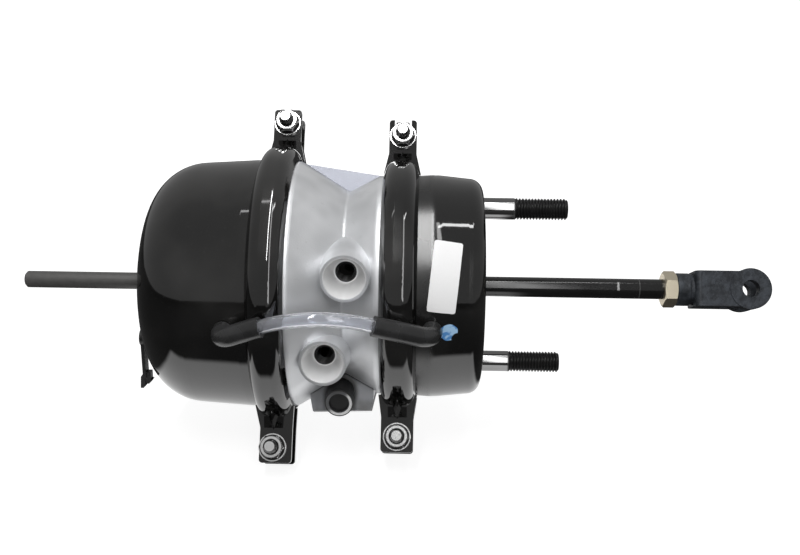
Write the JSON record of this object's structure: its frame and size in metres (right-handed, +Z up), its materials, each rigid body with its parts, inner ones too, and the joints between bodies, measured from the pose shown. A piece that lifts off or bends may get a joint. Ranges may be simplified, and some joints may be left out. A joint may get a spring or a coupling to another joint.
{
  "type": "spring brake chamber",
  "caption": "Combination air brake chamber: service and spring parking sides joined by a cast centre body, with push rod and clevis, mounting studs and a release bolt.",
  "frame": {"origin": "centre of the mounting face of the service side, on the push rod's axis", "axes": "+X along the push rod, out of the mounting face; +Z up through the upper stud; the air ports face -Y"},
  "size_m": [0.5597, 0.2222, 0.2498],
  "materials": {
    "black_steel": "gloss black paint",
    "cast_aluminium": "as cast, light grey",
    "zinc": "bright zinc plate",
    "yellow_zinc": "yellow zinc plate",
    "stud_steel": "black phosphate",
    "rod_paint": "satin black paint",
    "forged_steel": "dark forged and oiled",
    "bolt_steel": "dark grey phosphate",
    "diaphragm_rubber": "matt rubber",
    "seal_rubber": "matt rubber",
    "elbow_rubber": "matt dark grey rubber",
    "clear_hose": "clear hose",
    "black_plastic": "matt moulded",
    "spring_steel": "painted spring steel",
    "bronze": "plain bush"
  },
  "bodies": {
    "chamber": {"parking_head": "black_steel", "center_casting": "cast_aluminium", "service_housing": "black_steel", "parking_clamp_front": "black_steel", "parking_clamp_rear": "black_steel", "service_clamp_front": "black_steel", "service_clamp_rear": "black_steel", "parking_clamp_bolts": "zinc", "parking_clamp_nuts": "zinc", "parking_clamp_washers": "zinc", "service_clamp_bolts": "zinc", "service_clamp_nuts": "zinc", "service_clamp_washers": "zinc", "parking_diaphragm": "diaphragm_rubber", "power_spring": "spring_steel", "parking_return_spring": "spring_steel", "service_return_spring": "spring_steel", "rod_bushing": "bronze", "rod_seals": "seal_rubber", "release_nut": "zinc", "release_washer": "zinc", "stud_upper": "stud_steel", "stud_lower": "stud_steel", "stud_plate": "black_steel", "port_plug": "black_plastic", "keyhole_plug": "black_plastic", "vent_hose": "clear_hose", "vent_elbow_parking": "elbow_rubber", "vent_elbow_service": "elbow_rubber", "vent_nipple_parking": "zinc", "vent_nipple_service": "zinc"},
    "spring_piston": {"parking_piston": "bolt_steel", "adapter_rod": "zinc", "release_bolt": "bolt_steel"},
    "diaphragm_center": {"service_diaphragm": "diaphragm_rubber"},
    "push_rod": {"push_plate": "zinc", "pushrod": "rod_paint", "jam_nut": "yellow_zinc", "yoke": "forged_steel"}
  },
  "joints": [
    {"name": "parking_stroke", "type": "slide", "parent": "chamber", "child": "spring_piston", "axis": [1, 0, 0], "range_m": [0, 0.057], "deforming": ["power_spring", "parking_return_spring", "parking_diaphragm"]},
    {"name": "service_stroke", "type": "slide", "parent": "chamber", "child": "diaphragm_center", "axis": [1, 0, 0], "range_m": [0, 0.057], "stiffness_N_per_m": 2500, "springref_m": -0.05, "deforming": ["service_diaphragm", "service_return_spring"]},
    {"name": "pushrod_swivel", "type": "hinge", "parent": "diaphragm_center", "child": "push_rod", "pos_m": [0, 0, 0], "axis": [1, 0, 0], "continuous": true}
  ],
  "couplings": [
    {"joint": "service_stroke", "follows": "parking_stroke", "ratio": 1}
  ]
}
